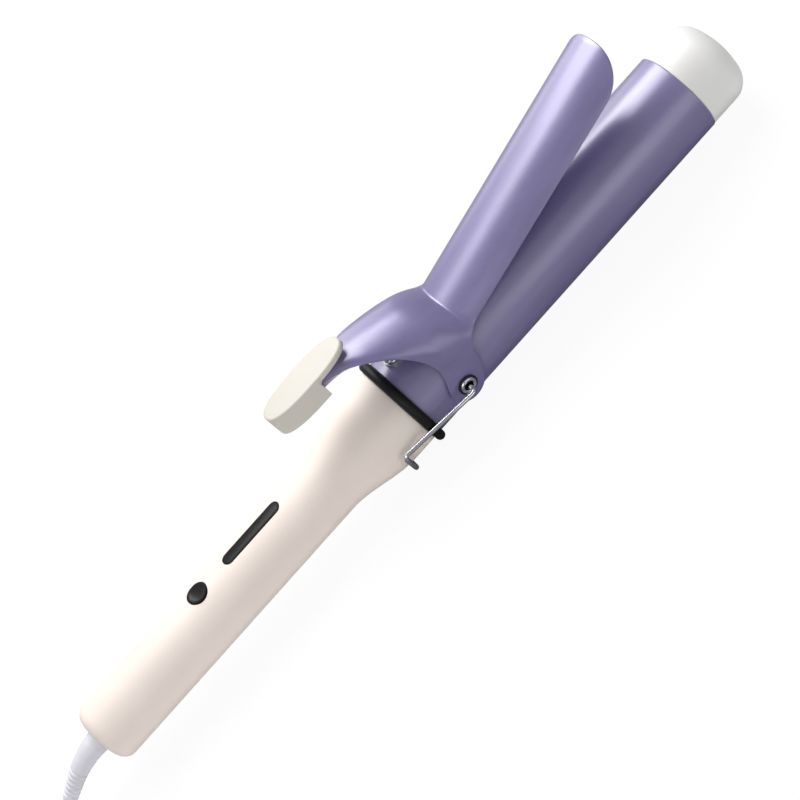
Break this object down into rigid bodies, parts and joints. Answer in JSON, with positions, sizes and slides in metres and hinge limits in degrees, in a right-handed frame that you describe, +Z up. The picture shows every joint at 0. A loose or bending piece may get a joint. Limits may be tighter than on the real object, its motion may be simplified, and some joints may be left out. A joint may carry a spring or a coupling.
{
  "type": "curling iron",
  "caption": "Hair curling iron with a large round barrel, a sprung clip on a hinge, a folding wire stand, a handle with display and button, and a tied mains cord with plug.",
  "frame": {"origin": "under the middle of the iron without its cord, on the surface that it lies on", "axes": "+X along the barrel axis towards the tip, +Z up towards the clip, Y across, along the clip's hinge"},
  "size_m": [0.5866, 0.0602, 0.0793],
  "materials": {
    "barrel_coat": "glossy lilac ceramic coat",
    "cap_plastic": "satin off-white",
    "handle_plastic": "glossy warm white",
    "black_plastic": "glossy black",
    "washer_rubber": "matt black",
    "chrome_wire": "bright plated",
    "plain_steel": "plain",
    "bare_aluminium": "as extruded",
    "heater_ceramic": "ceramic plates in foil",
    "inner_plastic": "moulded",
    "board_laminate": "green laminate",
    "lead_sleeve": "silicone sleeve",
    "cord_rubber": "satin light grey"
  },
  "bodies": {
    "handle": {"barrel_tube": "barrel_coat", "tip_cap": "cap_plastic", "handle_shell": "handle_plastic", "guard_ring": "black_plastic", "barrel_holder": "black_plastic", "display_window": "black_plastic", "cord_tie": "black_plastic", "tact_switch": "black_plastic", "triac": "black_plastic", "pivot_washers": "washer_rubber", "pivot_eyelets": "chrome_wire", "clip_spring": "chrome_wire", "plug_pins": "chrome_wire", "neck_screw": "plain_steel", "clamp_screws": "plain_steel", "spring_seat": "plain_steel", "spreader_springs": "plain_steel", "spreader_upper": "bare_aluminium", "spreader_lower": "bare_aluminium", "thermal_fuse": "bare_aluminium", "ptc_heater": "heater_ceramic", "board_frame": "inner_plastic", "cord_clamp": "inner_plastic", "film_capacitor": "inner_plastic", "thermistor": "inner_plastic", "led_display": "inner_plastic", "control_board": "board_laminate", "heater_leads": "lead_sleeve", "strain_relief": "cord_rubber", "cord_end": "cord_rubber", "cord_lead": "cord_rubber", "cord_hank": "cord_rubber", "cord_tail": "cord_rubber", "plug_body": "cord_rubber"},
    "clip": {"clip_sheet": "barrel_coat", "thumb_rest": "handle_plastic"},
    "stand": {"stand_wire": "chrome_wire"},
    "button": {"power_button": "black_plastic", "switch_plunger": "black_plastic"}
  },
  "joints": [
    {"name": "clip_hinge", "type": "hinge", "parent": "handle", "child": "clip", "pos_m": [0.01695, 0, 0.0226], "axis": [0, -1, 0], "range_deg": [-15, 10], "stiffness_Nm_per_rad": 0.25, "springref_deg": -40.11, "deforming": ["clip_spring"]},
    {"name": "stand_hinge", "type": "hinge", "parent": "handle", "child": "stand", "pos_m": [0.01695, 0, 0.0226], "axis": [0, -1, 0], "range_deg": [0, 110]},
    {"name": "button_slide", "type": "slide", "parent": "handle", "child": "button", "axis": [0, 0, -1], "range_m": [0, 0.0005], "stiffness_N_per_m": 400}
  ]
}
